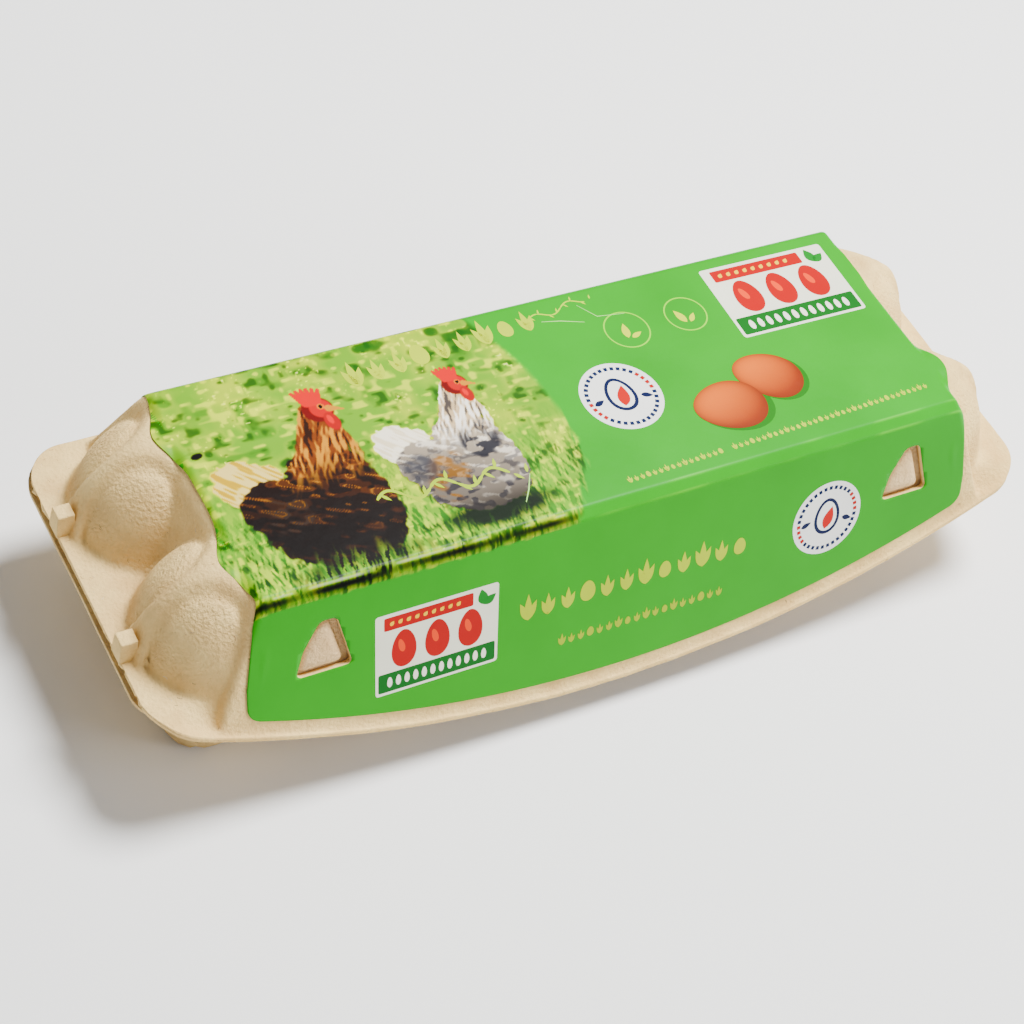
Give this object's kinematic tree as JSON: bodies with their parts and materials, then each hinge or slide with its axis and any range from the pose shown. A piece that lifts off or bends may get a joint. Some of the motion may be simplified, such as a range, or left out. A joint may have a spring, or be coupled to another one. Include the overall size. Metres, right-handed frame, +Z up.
{
  "type": "egg carton",
  "caption": "Moulded pulp egg carton with domed cell ends, a hinged lid with a curved front edge, a sprung latch flap and a paper label.",
  "frame": {"origin": "centre of the closed carton's bounding box in plan, on the plane it stands on", "axes": "+X along the rows of cells, +Y from the opening side to the hinge, +Z up"},
  "size_m": [0.298, 0.1152, 0.0676],
  "materials": {
    "lid_pulp": "moulded grey-cream pulp with fine fibres",
    "tray_pulp": "moulded grey-cream pulp, rougher than the lid",
    "latch_pulp": "moulded pulp, smooth from pressing",
    "label": "glossy printed paper, green with a meadow picture"
  },
  "bodies": {
    "tray": {"egg_cell_01": "tray_pulp", "egg_cell_02": "tray_pulp", "egg_cell_03": "tray_pulp", "egg_cell_04": "tray_pulp", "egg_cell_05": "tray_pulp", "egg_cell_06": "tray_pulp", "egg_cell_07": "tray_pulp", "egg_cell_08": "tray_pulp", "egg_cell_09": "tray_pulp", "egg_cell_10": "tray_pulp", "egg_cell_11": "tray_pulp", "egg_cell_12": "tray_pulp", "tray_deck": "tray_pulp", "centre_post_1": "tray_pulp", "centre_post_2": "tray_pulp", "centre_post_3": "tray_pulp", "centre_post_4": "tray_pulp", "centre_post_5": "tray_pulp", "living_hinge": "tray_pulp"},
    "lid": {"lid_top_panel": "lid_pulp", "lid_front_wall": "lid_pulp", "lid_back_wall": "lid_pulp", "lid_front_lip": "lid_pulp", "lid_back_flange": "lid_pulp", "lid_end_web_left": "lid_pulp", "lid_end_flange_left": "lid_pulp", "lid_end_web_right": "lid_pulp", "lid_end_flange_right": "lid_pulp", "lid_dome_front_left": "lid_pulp", "denesting_stop_front_left": "lid_pulp", "lid_dome_back_left": "lid_pulp", "denesting_stop_back_left": "lid_pulp", "lid_dome_front_right": "lid_pulp", "lid_dome_back_right": "lid_pulp", "paper_label": "label"},
    "latch": {"latch_flap": "latch_pulp", "latch_knob_left": "latch_pulp", "latch_knob_right": "latch_pulp"}
  },
  "joints": [
    {"name": "lid_hinge", "type": "hinge", "parent": "tray", "child": "lid", "pos_m": [0, 0.05712, 0.036], "axis": [-1, 0, 0], "range_deg": [0, 178], "deforming": ["living_hinge", "latch_knob_left", "latch_knob_right"]},
    {"name": "latch_press", "type": "hinge", "parent": "tray", "child": "latch", "pos_m": [0, -0.04385, 0.0363], "axis": [-1, 0, 0], "range_deg": [0, 12], "stiffness_Nm_per_rad": 0.5}
  ]
}
